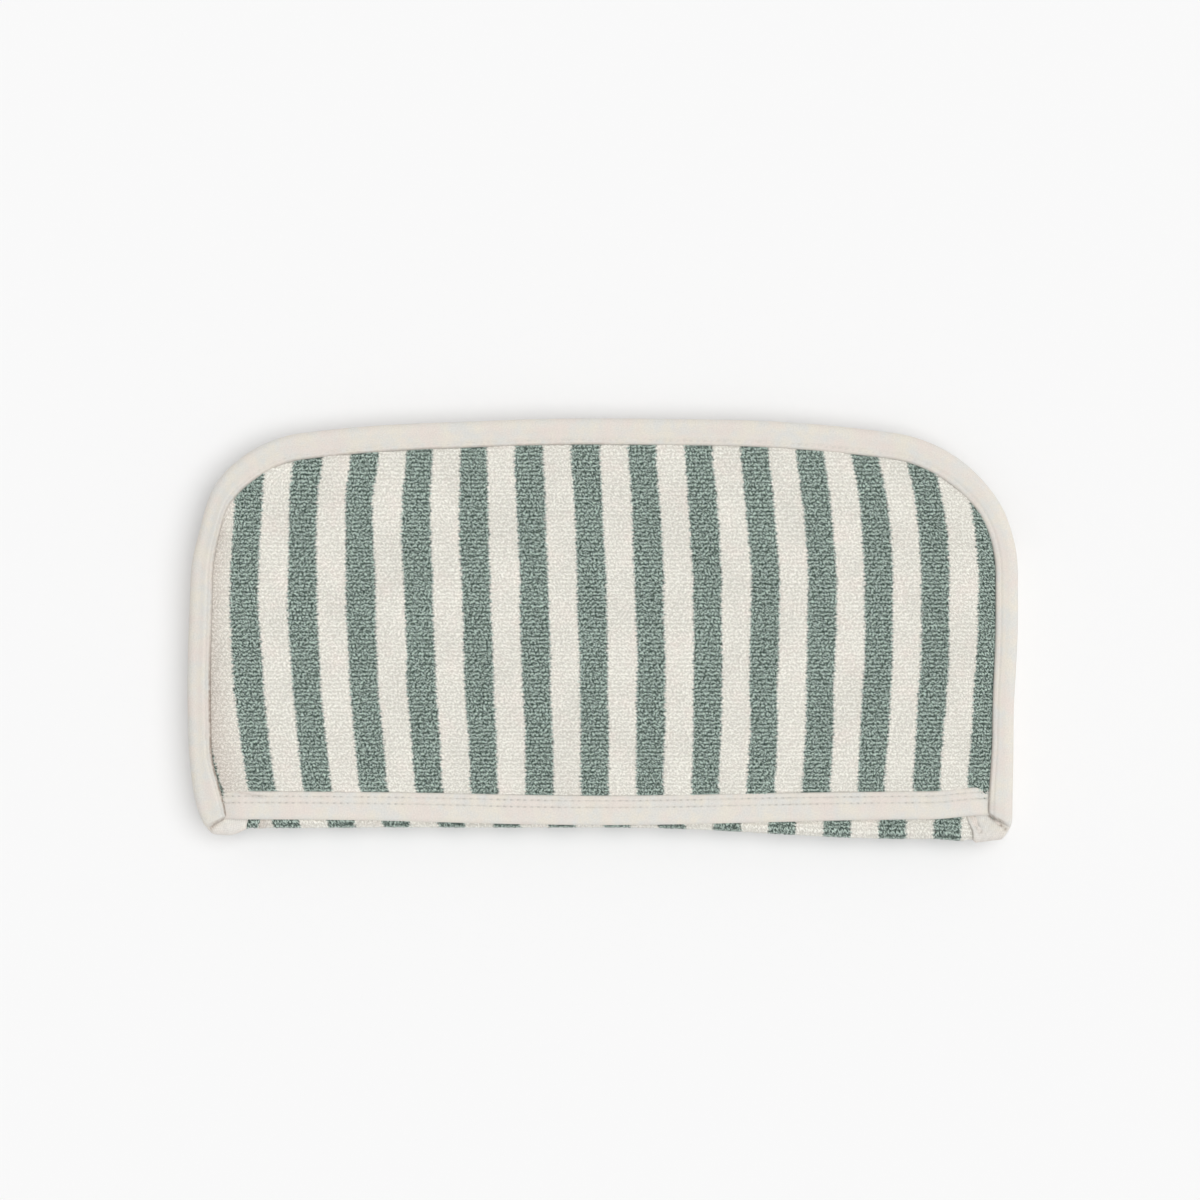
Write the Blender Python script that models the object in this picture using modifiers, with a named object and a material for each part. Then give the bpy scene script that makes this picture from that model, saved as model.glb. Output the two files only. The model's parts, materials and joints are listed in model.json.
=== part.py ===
"""A hooded baby towel of striped terry, folded flat with its hood on top.

The towel is one long sheet. Its first end carries the hood, a second sheet of the same terry whose lower edge
is the hood's mouth. A folded tape binds the sheet all round, and holds the hood's sides and top to it. Below
the mouth the sheet turns under, and lies behind the hood in three more panels, zigzag fashion. The far end
has the same rounded corners as the hood's.

X runs along the folds, +Y towards the hood's top edge and +Z up out of the hood. The origin is the middle of
the folded towel's lowest plane.
"""

import math

import bmesh
import bpy
from mathutils import Vector

# Sizes that can be set by themselves, in metres.
TOWEL_WIDTH = 0.414
PACKET_DEPTH = 0.210  # from the first fold's outer edge to the top of the hood
CORNER_RADIUS = 0.065
CROWN_RADIUS = 1.4  # of the slightly arched edge between two rounded corners
TERRY_THICKNESS = 0.0024
TAPE_THICKNESS = 0.0005
EDGE_TAPE_REACH = 0.0125  # how far the edge binding reaches in from the towel's edge
MOUTH_TAPE_REACH = 0.0145
TAPE_CORNER_RADIUS = 0.001
MOUTH_SETBACK = 0.007  # from the first fold's outer edge to the mouth
END_SETBACK = 0.008  # the far end lies this much behind the hood's top edge
LAST_FOLD_SETBACK = 0.005  # the third fold lies this much behind the first
FOLD_OVERRUN = 0.008  # how far the second fold reaches past the start of the hood's corners
THREAD_DIAMETER = 0.0004
EDGE_STITCH_INSET = 0.0015  # from the tape's inner edge to its row of stitches
MOUTH_STITCH_INSET = 0.0026
MOUTH_STITCH_SPACING = 0.0032
CLEARANCE = 0.0003

# How finely round stretches are cut.
CORNER_STEPS = 12
CROWN_STEPS = 14
TAPE_CORNER_STEPS = 3
TURN_STEPS = 12

# Thicknesses and heights that follow from them.
BOUND_EDGE = TERRY_THICKNESS + 2 * (CLEARANCE + TAPE_THICKNESS)  # one sheet of terry in its binding
LAYER_GAP = THREAD_DIAMETER + 2 * CLEARANCE  # room for the stitches between two bound edges
PITCH = BOUND_EDGE + LAYER_GAP
HOOD_RISE = TERRY_THICKNESS / 2 + CLEARANCE + BOUND_EDGE / 2  # the hood's sheet above the towel's
END_LEVEL = BOUND_EDGE / 2
THIRD_LEVEL = END_LEVEL + PITCH
SECOND_LEVEL = THIRD_LEVEL + PITCH
FRONT_LEVEL = SECOND_LEVEL + PITCH
HOOD_LEVEL = FRONT_LEVEL + HOOD_RISE
HOOD_EDGE_HEIGHT = BOUND_EDGE + HOOD_RISE  # two sheets of terry in one binding
HOOD_EDGE_LEVEL = (FRONT_LEVEL + HOOD_LEVEL) / 2

# Places along Y that follow from them.
TURN_REACH = (PITCH + BOUND_EDGE) / 2  # a fold's outer edge beyond its axis
LOWEST_Y = -PACKET_DEPTH / 2
HOOD_TOP_Y = PACKET_DEPTH / 2
END_TOP_Y = HOOD_TOP_Y - END_SETBACK
MOUTH_Y = LOWEST_Y + MOUTH_SETBACK
CROWN_ANGLE = math.asin((TOWEL_WIDTH / 2 - CORNER_RADIUS) / (CROWN_RADIUS - CORNER_RADIUS))
CORNER_RISE = CORNER_RADIUS * math.cos(CROWN_ANGLE) + CROWN_RADIUS * (1 - math.cos(CROWN_ANGLE))
FIRST_FOLD_Y = LOWEST_Y + TURN_REACH
SECOND_FOLD_Y = HOOD_TOP_Y - CORNER_RISE + FOLD_OVERRUN - TURN_REACH
THIRD_FOLD_Y = FIRST_FOLD_Y + LAST_FOLD_SETBACK

SHEET_INSET = 2 * TAPE_THICKNESS  # from the binding's outside to the terry's cut edge

SAGE = (0.20, 0.30, 0.24)
CREAM = (0.78, 0.74, 0.67)
THREAD_WHITE = (0.84, 0.81, 0.75)


def empty_scene():
    for obj in list(bpy.data.objects):
        bpy.data.objects.remove(obj)


def new_collection(name):
    made = bpy.data.collections.new(name)
    bpy.context.scene.collection.children.link(made)
    return made


def new_material(name, colour, roughness):
    made = bpy.data.materials.new(name)
    made.use_nodes = True
    shader = made.node_tree.nodes["Principled BSDF"]
    shader.inputs["Base Color"].default_value = (*colour, 1)
    shader.inputs["Roughness"].default_value = roughness
    shader.inputs["Metallic"].default_value = 0
    return made


def add_object(name, data, material, location=(0, 0, 0)):
    made = bpy.data.objects.new(name, data)
    made.location = location
    data.materials.append(material)
    TOWEL.objects.link(made)
    return made


def arc(centre_x, centre_y, radius, first, last, steps):
    """Points on an arc between two angles, both ends among them."""
    turns = [first + (last - first) * i / steps for i in range(steps + 1)]
    return [(centre_x + radius * math.cos(t), centre_y + radius * math.sin(t)) for t in turns]


def rounded_end(low_y, top_y, inset):
    """The towel's edge at a rounded end: up the left side, over the crown and down the right side."""
    half = TOWEL_WIDTH / 2
    corner_y = top_y - CORNER_RISE
    upright = math.pi / 2
    corner = arc(half - CORNER_RADIUS, corner_y, CORNER_RADIUS - inset, upright - CROWN_ANGLE, 0, CORNER_STEPS)
    crown = arc(0, top_y - CROWN_RADIUS, CROWN_RADIUS - inset, upright, upright - CROWN_ANGLE, CROWN_STEPS // 2)
    right = crown[:-1] + corner + [(half - inset, low_y)]
    return [(-x, y) for x, y in reversed(right[1:])] + right


def flat_sheet(name, outline, level, material):
    """A level sheet of terry with this closed outline, its middle at the level."""
    curve = bpy.data.curves.new(name, "CURVE")
    curve.dimensions = "2D"
    curve.fill_mode = "BOTH"
    curve.extrude = TERRY_THICKNESS / 2
    spline = curve.splines.new("POLY")
    spline.points.add(len(outline) - 1)
    for point, (x, y) in zip(spline.points, outline):
        point.co = (x, y, 0, 1)
    spline.use_cyclic_u = True
    return add_object(name, curve, material, (0, 0, level))


def edge_strip(name, low_y, top_y, level, material):
    """The part of a rounded end's sheet that lies inside its binding."""
    outside = rounded_end(low_y, top_y, SHEET_INSET)
    inside = rounded_end(low_y, top_y, EDGE_TAPE_REACH)
    return flat_sheet(name, outside + inside[::-1], level, material)


def plain_panel(name, low_y, high_y, level, material):
    """A stretch of the towel between two folds."""
    half = TOWEL_WIDTH / 2 - SHEET_INSET
    outline = [(-half, low_y), (-half, high_y), (half, high_y), (half, low_y)]
    return flat_sheet(name, outline, level, material)


def tape_section(height, reach):
    """The tape's middle line round a bound edge, as (distance in from the outside, height) pairs."""
    radius = TAPE_CORNER_RADIUS - TAPE_THICKNESS / 2
    side = TAPE_THICKNESS / 2
    top = height / 2 - TAPE_THICKNESS / 2
    upright = math.pi / 2
    over = arc(side + radius, top - radius, radius, upright, 2 * upright, TAPE_CORNER_STEPS)
    return [(reach, top), *over, *[(d, -z) for d, z in reversed(over)], (reach, -top)]


def add_thickness(obj, thickness):
    solid = obj.modifiers.new("thickness", "SOLIDIFY")
    solid.thickness = thickness
    solid.offset = 0
    solid.use_even_offset = True
    solid.use_rim = True


def bound_edge(name, path, level, height, reach, material):
    """Tape folded over the edge that path follows. The towel lies to the right of the way the path runs."""
    section = tape_section(height, reach)
    mesh = bpy.data.meshes.new(name)
    work = bmesh.new()
    rows = []
    for i, (x, y) in enumerate(path):
        before = path[max(i - 1, 0)]
        after = path[min(i + 1, len(path) - 1)]
        along_x, along_y = after[0] - before[0], after[1] - before[1]
        length = math.hypot(along_x, along_y)
        in_x, in_y = along_y / length, -along_x / length
        rows.append([work.verts.new((x + d * in_x, y + d * in_y, z)) for d, z in section])
    for row, following in zip(rows, rows[1:]):
        for k in range(len(section) - 1):
            work.faces.new((row[k], row[k + 1], following[k + 1], following[k]))
    work.to_mesh(mesh)
    work.free()
    made = add_object(name, mesh, material, (0, 0, level))
    add_thickness(made, TAPE_THICKNESS)
    return made


def side_bindings(name, low_y, high_y, level, material):
    """The left and right bindings of a stretch between two folds."""
    half = TOWEL_WIDTH / 2
    left = [(-half, low_y), (-half, high_y)]
    right = [(half, high_y), (half, low_y)]
    for side, path in (("left", left), ("right", right)):
        bound_edge(f"{name}_{side}", path, level, BOUND_EDGE, EDGE_TAPE_REACH, material)


def turned(name, section, axis_y, axis_z, outward, thickness, material):
    """A half turn about a fold's axis. The section's points are (x, distance from the axis).

    outward is -1 for a fold on the -Y side and 1 for one on the +Y side.
    """
    mesh = bpy.data.meshes.new(name)
    points = [(x, 0, radius) for x, radius in section]
    mesh.from_pydata(points, [(i, i + 1) for i in range(len(points) - 1)], [])
    made = add_object(name, mesh, material, (0, axis_y, axis_z))
    screw = made.modifiers.new("half turn", "SCREW")
    screw.axis = "X"
    screw.angle = -outward * math.pi
    screw.steps = TURN_STEPS
    screw.render_steps = TURN_STEPS
    add_thickness(made, thickness)
    return made


def fold_turn(name, axis_y, upper_level, lower_level, outward, terry, tape):
    """The towel where it turns from one panel into the next, with its binding at both ends."""
    axis_z = (upper_level + lower_level) / 2
    radius = (upper_level - lower_level) / 2
    inner = TOWEL_WIDTH / 2 - SHEET_INSET
    turned(f"{name}_terry", [(-inner, radius), (inner, radius)], axis_y, axis_z, outward, TERRY_THICKNESS, terry)
    section = tape_section(BOUND_EDGE, EDGE_TAPE_REACH)
    for side, sign in (("left", -1), ("right", 1)):
        points = [(sign * (TOWEL_WIDTH / 2 - d), radius + z) for d, z in section]
        turned(f"{name}_binding_{side}", points, axis_y, axis_z, outward, TAPE_THICKNESS, tape)


def thread(name, path, level, material):
    """A row of stitches, as one thread lying along the tape."""
    curve = bpy.data.curves.new(name, "CURVE")
    curve.dimensions = "3D"
    curve.bevel_depth = THREAD_DIAMETER / 2
    curve.bevel_resolution = 1
    curve.use_fill_caps = True
    spline = curve.splines.new("POLY")
    spline.points.add(len(path) - 1)
    for point, (x, y) in zip(spline.points, path):
        point.co = (x, y, 0, 1)
    return add_object(name, curve, material, (0, 0, level))


def stitch_level(edge_level, height):
    """The height of a thread that lies on top of a bound edge."""
    return edge_level + height / 2 + CLEARANCE + THREAD_DIAMETER / 2


def side_stitches(name, low_y, high_y, level, material):
    x = TOWEL_WIDTH / 2 - EDGE_TAPE_REACH + EDGE_STITCH_INSET
    for side, sign in (("left", -1), ("right", 1)):
        path = [(sign * x, low_y), (sign * x, high_y)]
        thread(f"{name}_{side}", path, stitch_level(level, BOUND_EDGE), material)


def make_front(terry, tape, sewing):
    """The towel's first panel, bound together with the hood round its sides and top."""
    low_y = FIRST_FOLD_Y + CLEARANCE
    outline = rounded_end(low_y, HOOD_TOP_Y, SHEET_INSET)
    flat_sheet("towel_panel_front", outline, FRONT_LEVEL, terry)
    path = rounded_end(low_y, HOOD_TOP_Y, 0)
    bound_edge("edge_binding_front", path, HOOD_EDGE_LEVEL, HOOD_EDGE_HEIGHT, EDGE_TAPE_REACH, tape)
    row = rounded_end(low_y, HOOD_TOP_Y, EDGE_TAPE_REACH - EDGE_STITCH_INSET)
    thread("edge_stitch_front", row, stitch_level(HOOD_EDGE_LEVEL, HOOD_EDGE_HEIGHT), sewing)


def make_hood(terry, tape, sewing):
    """The hood's sheet, the tape round its mouth, and the tape's two rows of stitches.

    The sheet's margin stays in the edge binding. The rest is the part that lifts.
    """
    edge_strip("hood_margin", MOUTH_Y, HOOD_TOP_Y, HOOD_LEVEL, terry)
    outline = rounded_end(MOUTH_Y + SHEET_INSET, HOOD_TOP_Y, EDGE_TAPE_REACH + CLEARANCE)
    flat_sheet("hood_panel", outline, HOOD_LEVEL, terry)
    half = TOWEL_WIDTH / 2 - EDGE_TAPE_REACH - CLEARANCE
    path = [(half, MOUTH_Y), (-half, MOUTH_Y)]
    bound_edge("hood_mouth_binding", path, HOOD_LEVEL, BOUND_EDGE, MOUTH_TAPE_REACH, tape)
    first_y = MOUTH_Y + MOUTH_TAPE_REACH - MOUTH_STITCH_INSET
    rows = {"hood_mouth_stitch_inner": first_y, "hood_mouth_stitch_outer": first_y - MOUTH_STITCH_SPACING}
    for name, y in rows.items():
        thread(name, [(half, y), (-half, y)], stitch_level(HOOD_LEVEL, BOUND_EDGE), sewing)


def make_middle(terry, tape, sewing):
    """The two panels between the hood's panel and the far end's."""
    high_y = SECOND_FOLD_Y - CLEARANCE
    starts = {
        "second": (FIRST_FOLD_Y + CLEARANCE, SECOND_LEVEL),
        "third": (THIRD_FOLD_Y + CLEARANCE, THIRD_LEVEL),
    }
    for word, (low_y, level) in starts.items():
        plain_panel(f"towel_panel_{word}", low_y, high_y, level, terry)
        side_bindings(f"edge_binding_{word}", low_y, high_y, level, tape)
        side_stitches(f"edge_stitch_{word}", low_y, high_y, level, sewing)


def make_end(terry, tape, sewing):
    """The last panel, with the towel's other rounded end."""
    low_y = THIRD_FOLD_Y + CLEARANCE
    flat_sheet("towel_panel_end", rounded_end(low_y, END_TOP_Y, SHEET_INSET), END_LEVEL, terry)
    path = rounded_end(low_y, END_TOP_Y, 0)
    bound_edge("edge_binding_end", path, END_LEVEL, BOUND_EDGE, EDGE_TAPE_REACH, tape)
    row = rounded_end(low_y, END_TOP_Y, EDGE_TAPE_REACH - EDGE_STITCH_INSET)
    thread("edge_stitch_end", row, stitch_level(END_LEVEL, BOUND_EDGE), sewing)


def make_folds(terry, tape):
    fold_turn("fold_first", FIRST_FOLD_Y, FRONT_LEVEL, SECOND_LEVEL, -1, terry, tape)
    fold_turn("fold_second", SECOND_FOLD_Y, SECOND_LEVEL, THIRD_LEVEL, 1, terry, tape)
    fold_turn("fold_third", THIRD_FOLD_Y, THIRD_LEVEL, END_LEVEL, -1, terry, tape)


def hinge(name, pivot, parent, *words):
    """An empty on a joint's axis, which carries the pieces with any of these words in their names."""
    made = bpy.data.objects.new(name, None)
    made.empty_display_size = 0.02
    TOWEL.objects.link(made)
    made.location = pivot
    if parent:
        made.parent = parent
        made.location = Vector(pivot) - parent.matrix_world.translation
    for piece in TOWEL.objects:
        if piece.type == "MESH" and any(word in piece.name for word in words):
            piece.parent = made
            piece.location = piece.location - Vector(pivot)
    bpy.context.view_layer.update()
    return made


def make_hinges():
    """The towel unfolds about three folds, each panel carried by the one before. The hood lifts about its seam."""
    second = hinge("second_hinge", (0, FIRST_FOLD_Y, (FRONT_LEVEL + SECOND_LEVEL) / 2), None, "_second")
    third = hinge("third_hinge", (0, SECOND_FOLD_Y, (SECOND_LEVEL + THIRD_LEVEL) / 2), second, "_third")
    hinge("end_hinge", (0, THIRD_FOLD_Y, (THIRD_LEVEL + END_LEVEL) / 2), third, "_end")
    seam = (0, HOOD_TOP_Y - EDGE_TAPE_REACH, HOOD_LEVEL + TERRY_THICKNESS / 2)
    hinge("hood_hinge", seam, None, "hood_panel", "hood_mouth")


empty_scene()
TOWEL = new_collection("hooded_baby_towel")
TERRY = new_material("striped_terry", SAGE, 0.95)
TAPE = new_material("binding_tape", CREAM, 0.85)
SEWING = new_material("sewing_thread", THREAD_WHITE, 0.7)
make_front(TERRY, TAPE, SEWING)
make_hood(TERRY, TAPE, SEWING)
make_middle(TERRY, TAPE, SEWING)
make_end(TERRY, TAPE, SEWING)
make_folds(TERRY, TAPE)
make_hinges()
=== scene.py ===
"""The looks of a hooded baby towel: striped terry, folded flat, bound all round with a cream bias tape.

Every length is in metres. Cloth is laid out by its flat coordinates: u runs across the towel and v along it.
Each terry piece carries them as its UV map, so stripes and loops move with the cloth when the towel unfolds.
"""

import json
import math

import bpy
import numpy as np
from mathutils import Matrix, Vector


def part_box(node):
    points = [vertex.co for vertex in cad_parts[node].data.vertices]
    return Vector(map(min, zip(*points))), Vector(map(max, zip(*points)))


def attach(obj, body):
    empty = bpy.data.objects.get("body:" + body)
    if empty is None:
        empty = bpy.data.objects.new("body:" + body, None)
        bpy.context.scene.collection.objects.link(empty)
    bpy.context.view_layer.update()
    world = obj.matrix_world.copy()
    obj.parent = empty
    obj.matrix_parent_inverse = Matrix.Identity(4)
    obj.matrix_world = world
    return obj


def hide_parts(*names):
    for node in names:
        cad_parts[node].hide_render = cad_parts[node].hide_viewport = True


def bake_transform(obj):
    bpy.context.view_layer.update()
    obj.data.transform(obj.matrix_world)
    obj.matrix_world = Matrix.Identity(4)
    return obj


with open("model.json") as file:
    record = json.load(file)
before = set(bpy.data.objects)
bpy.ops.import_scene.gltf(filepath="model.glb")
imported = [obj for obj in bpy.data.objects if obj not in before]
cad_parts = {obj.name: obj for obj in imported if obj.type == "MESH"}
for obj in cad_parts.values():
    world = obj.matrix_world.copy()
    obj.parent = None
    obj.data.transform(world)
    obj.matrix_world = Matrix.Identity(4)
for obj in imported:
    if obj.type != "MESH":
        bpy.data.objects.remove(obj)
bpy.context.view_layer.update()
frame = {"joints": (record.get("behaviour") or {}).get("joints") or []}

MM = 0.001
JOINTS = {joint["name"]: joint for joint in frame["joints"]}


def middle(node):
    """The height of a CAD node's middle."""
    low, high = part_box(node)
    return (low[2] + high[2]) / 2


# Sizes taken from the frame.
EDGE_LOW, EDGE_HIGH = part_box("edge_binding_front")
HALF_WIDTH, HOOD_TOP = EDGE_HIGH[:2]
END_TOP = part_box("edge_binding_end")[1][1]
LEVELS = {word: middle(f"towel_panel_{word}") for word in ("front", "second", "third", "end")}
# The end's cloth and tape are a little thicker than their nodes, so they lie higher, clear of the floor.
END_RAISED = 0.5 * MM
LEVELS["end"] += END_RAISED
HOOD_LEVEL = middle("hood_panel")
EDGE_LEVEL = middle("edge_binding_front")
FOLD_Y = {word: JOINTS[f"fold_{word}"]["pos_m"][1] for word in ("first", "second", "third")}

# The terry. A green and a cream stripe make one period. TERRY_HALF is half the thickness without loops, and
# COARSE_LOOPS is added where the mesh has none. The hood's cloth goes under the mouth's tape at HOOD_SEAM
# and ends at HOOD_LOW. FIRST_STRIP turns under below the mouth. Round a fold, each radian takes TURN_RADIUS.
STRIPE_PERIOD = 27.6 * MM
HOOD_STRIPE_SHIFT = -4.75 * MM
BODY_STRIPE_SHIFT = 6.2 * MM
TERRY_HALF = 1.35 * MM
COARSE_LOOPS = 0.25 * MM
LOOP_ROW = 2.0 * MM
LOOP_COLUMN = 1.0 * MM
LOOP_HEIGHT = 0.5 * MM
LOOP_HALF_LENGTH = 0.85 * MM
LOOP_HALF_WIDTH = 0.36 * MM
LOOP_LEAN = math.radians(52)
FINE_STEP = 0.4 * MM
FINE_RATIO = 4
COARSE_STEP = 2.0 * MM
PANEL_INSET = 2.5 * MM
HOOD_SIDE_INSET = 4 * MM
HOOD_TOP_INSET = 3 * MM
HOOD_LOW = -88 * MM
HOOD_SEAM = -84 * MM
FIRST_STRIP = 14.5 * MM
TURN_RADIUS = 2.5 * MM
TURN_LENGTH = 8 * MM

# The tape. A reach is how far it comes in from the edge, and a height is that of its whole folded section.
# A nose is how deep its round outer edge is, a crown how far its faces swell, and a lip how deep its inner
# edge turns in. Its flat coordinates start SECTION_START short of its reach.
TAPE_REACH = 12.2 * MM
TAPE_THICKNESS = 0.55 * MM
TAPE_LIP = 0.95 * MM
SECTION_START = 0.3 * MM
TAPE_NOSE = 2.5 * MM
TAPE_CROWN = 0.2 * MM
FOLD_TAPE_NOSE = 2.1 * MM
FOLD_TAPE_CROWN = 0.18 * MM
FRONT_TAPE_NOSE = 5 * MM
FRONT_TAPE_CROWN = 0.5 * MM
EDGE_HEIGHT = 7.6 * MM
SINGLE_EDGE_HEIGHT = 4.2 * MM
MOUTH_REACH = 14.8 * MM
MOUTH_HEIGHT = 3.6 * MM
WIDE_LEFT = 30.5 * MM
WIDE_RIGHT = 25.1 * MM
PATH_STEP = 1.0 * MM
HIDDEN_PATH_STEP = 1.5 * MM

# The sewing. An inset is how far a row of stitches lies from the tape's inner edge. A thread covers
# STITCH_COVER of each stitch.
STITCH_LENGTH = 3.4 * MM
STITCH_COVER = 0.86
THREAD_RADIUS = 0.2 * MM
THREAD_SIDES = 6
EDGE_STITCH_INSET = 2.7 * MM
MOUTH_ROWS = (2.6 * MM, 5.8 * MM)

# Creases in the tape, each from one end to the other in mm.
LEFT_CREASE = ((-190.6, -93.7), (-197.0, -99.4))
LEFT_SOFT_FOLD = ((-190.0, -95.5), (-187.0, -103.0))
RIGHT_CREASE = ((192.7, -93.9), (201.0, -101.0))
RIGHT_VALLEY = ((184.0, -94.0), (188.0, -101.5))
RIGHT_RIDGE = ((181.8, -94.0), (186.6, -106.5))
MOUTH_TUCK = ((-191.0, -80.8), (-171.0, -84.0))

# The towel's outline.
CROWN_RADIUS = 1.4
LEFT_CORNER_RADIUS = 62 * MM
RIGHT_CORNER_RADIUS = 71 * MM
CORNER_POINTS = 60
CROWN_POINTS = 160

# How the folded towel strays from that outline, in swells and ramps. A swell is its height, its middle and
# its half length. A ramp is its height, its start and its length. The sides' heights are in mm, inwards.
LEFT_WAIST = (2.9, 51 * MM, 27 * MM)
LEFT_BELLY = (1.8, -30 * MM, 70 * MM)
LEFT_FOOT = (0.9, -60 * MM, 18 * MM)
LEFT_ROUND = (14.5, -72 * MM, 33 * MM)
RIGHT_WAIST = (2.2, 5 * MM, 55 * MM)
RIGHT_FOOT = (0.6, -55 * MM, 45 * MM)
RIGHT_ROUND = (11, -95 * MM, 12.5 * MM)
RIGHT_SHOULDER = (0.5, 62 * MM, 16 * MM)
ROUND_LIMIT = 0.985
SIDE_BAND = (1, 178 * MM, 26 * MM)
TOP_BAND = (1, 40 * MM, 60 * MM)
TOP_FULLNESS = 1.1 * MM
TOP_SHOULDERS = ((1, -130 * MM, 75 * MM), (1, 95 * MM, 75 * MM))
FOLD_BACK = 4.4 * MM
FOLD_FORWARD = (5.6 * MM, 5 * MM, 150 * MM)
FOLD_LEFT_BULGE = (3.3 * MM, -198 * MM, 31 * MM)
FOLD_RIGHT_BULGE = (1.4 * MM, 186 * MM, 24 * MM)
FOLD_FADE = 70 * MM
LOWER_FOLD_SHARE = 0.3
LOWER_FOLD_BACK = 0.9 * MM
PLEAT = (9 * MM, -166 * MM, 8 * MM)
LEFT_TAPE_WIDER = (4.2, -62 * MM, 30 * MM)
RIGHT_TAPE_WIDER = (1.8, -50 * MM, 40 * MM)
TOP_TAPE_WIDER = (1.7 * MM, 60 * MM, 30 * MM)
LEFT_SLANT = 5.2 * MM
RIGHT_SLANT = 6.8 * MM
MOUTH_Y = -95.7 * MM
MOUTH_SAG = (2.8 * MM, 0, 165 * MM)
MOUTH_RISE = (2.0 * MM, 162 * MM, 28 * MM)

# Ripples, each its seed, its shortest and longest waves, and how many waves it has if not 7.
UNEVEN = (5, 55 * MM, 150 * MM)
WANDER = (11, 30 * MM, 90 * MM)
HOOD_PUFF = (21, 12 * MM, 34 * MM, 9)
PANEL_PUFF = (31, 7 * MM, 20 * MM, 9)
TAPE_PUFF_SEED = 40
TAPE_PUFF = (8 * MM, 24 * MM, 9)

# How it lies out of flat. The wrinkle's depth is in mm, WRINKLE_SPAN is where it is along x, and the front
# takes FRONT_WRINKLE of it.
UNEVEN_HEIGHT = 0.55 * MM
DROOP = (1.0 * MM, 40 * MM, 58 * MM)
END_CURL = (3.0 * MM, 40 * MM, 60 * MM)
WRINKLE_DEPTH = 1.7
WRINKLE_PLACE = (-110 * MM, 70 * MM)
WRINKLE_SLOPE = 0.12
WRINKLE_WIDTH = 6 * MM
WRINKLE_SPAN = (1, -118 * MM, 62 * MM)
FRONT_WRINKLE = 0.4

# How much narrower each layer lies on each side, how far aside, and its share of the unevenness.
LAYER_INSET = {"front": 0.0, "second": 1.2 * MM, "third": 0.8 * MM, "end": 1.6 * MM}
LAYER_SHIFT = {"front": 0.0, "second": 0.5 * MM, "third": -0.5 * MM, "end": 0.2 * MM}
LAYER_SHARE = {"second": 0.7, "third": 0.4, "end": 0.0}

# How the hood's stripes stray sideways, in mm, by powers of u in units of 100 mm.
BOW_UNIT = 100 * MM
BOW = (1.6, 3.7, 0.0, 0.3)
BOW_LEAN = (-5.4, 1.6, -0.7, -0.8)
BOW_TWIST = (0.0, -0.3, -0.4)
KINK = (2.4, 66 * MM, 18 * MM)
KINK_SPAN = (1, -120 * MM, 85 * MM)

# Colours, each pair from painted shade in the gaps between loops to painted highlight on their tops. The left
# edge's span is from where painted shade darkens the cream most to where it is clear, along u. The weave and
# the thread's twist repeat over the lengths given in WEAVE_TURN and THREAD_TWIST.
GREEN = ((0.032, 0.056, 0.044, 1), (0.56, 0.68, 0.61, 1))
CREAM = ((0.67, 0.645, 0.58, 1), (1.0, 0.985, 0.91, 1))
BLUSH = ((0.73, 0.665, 0.605, 1), (1.0, 0.945, 0.875, 1))
# The cream's pair near the left edge, darker with painted shade and pinker.
EDGE_SHADE = ((0.58, 0.52, 0.46, 1), (0.86, 0.80, 0.73, 1))
THREAD_COLOURS = ((0.66, 0.62, 0.56, 1), (0.86, 0.83, 0.78, 1))
TAPE_GREY = (0.76, 0.75, 0.71, 1)
TAPE_WARM = (0.815, 0.77, 0.68, 1)
TAPE_PINK = (0.81, 0.735, 0.675, 1)
# The brown that painted shade gives the tapes' creases and inner edges.
CREASE_SHADE = (0.30, 0.225, 0.175, 1)
EDGE_SHADE_SPAN = (-186 * MM, -166 * MM)
WEAVE_TURN = 2 * math.pi * 0.7071 / (0.75 * MM)
THREAD_TWIST = 0.45 * MM

# The stage, in metres, and its light. The camera's centre is where it looks straight down.
FLOOR_HALF = 20.0
FLOOR_COLOUR = (0.93, 0.93, 0.93, 1)
SKY_STRENGTH = 0.5
SUN_TOWARDS = (0.32, 0.02, 1.0)
SUN_SPREAD = 1.05
SUN_POWER = 1.72
CAMERA_CENTRE = (-2.2 * MM, 14 * MM)
CAMERA_DISTANCE = 1.6
VIEW_WIDTH = 0.6


# ---------------- numbers


def smooth(t):
    t = np.clip(t, 0, 1)
    return t * t * (3 - 2 * t)


def hill(t):
    """1 at 0, falling smoothly to 0 at -1 and 1."""
    return (1 + np.cos(np.pi * np.clip(t, -1, 1))) / 2


def swell(at, height, centre, half_length):
    """A smooth bump."""
    return height * hill((at - centre) / half_length)


def ramp_up(at, height, start, length):
    """0 up to start, then smoothly up to height over a length."""
    return height * smooth((at - start) / length)


def ramp_down(at, height, start, length):
    """0 above start, and smoothly up to height over a length below it."""
    return height * smooth((start - at) / length)


def powers(at, terms):
    """The polynomial with these terms, from the constant up."""
    return sum(term * at**power for power, term in enumerate(terms))


def lengths_along(points):
    """How far each point of a line is from its first, along it."""
    return np.concatenate([[0], np.cumsum(np.linalg.norm(np.diff(points, axis=0), axis=1))])


def upward(height):
    """A move straight up for each height."""
    return height[..., None] * np.array([0.0, 0.0, 1.0])


def near_line(points, start, end, width):
    """1 on a line seen from above, falling to 0 away from it. start and end are in mm."""
    a, b = np.array(start) * MM, np.array(end) * MM
    along = np.clip(((points[..., :2] - a) @ (b - a)) / ((b - a) @ (b - a)), 0, 1)
    off = np.linalg.norm(points[..., :2] - a - along[..., None] * (b - a), axis=-1)
    return np.exp(-((off / width) ** 2))


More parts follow.
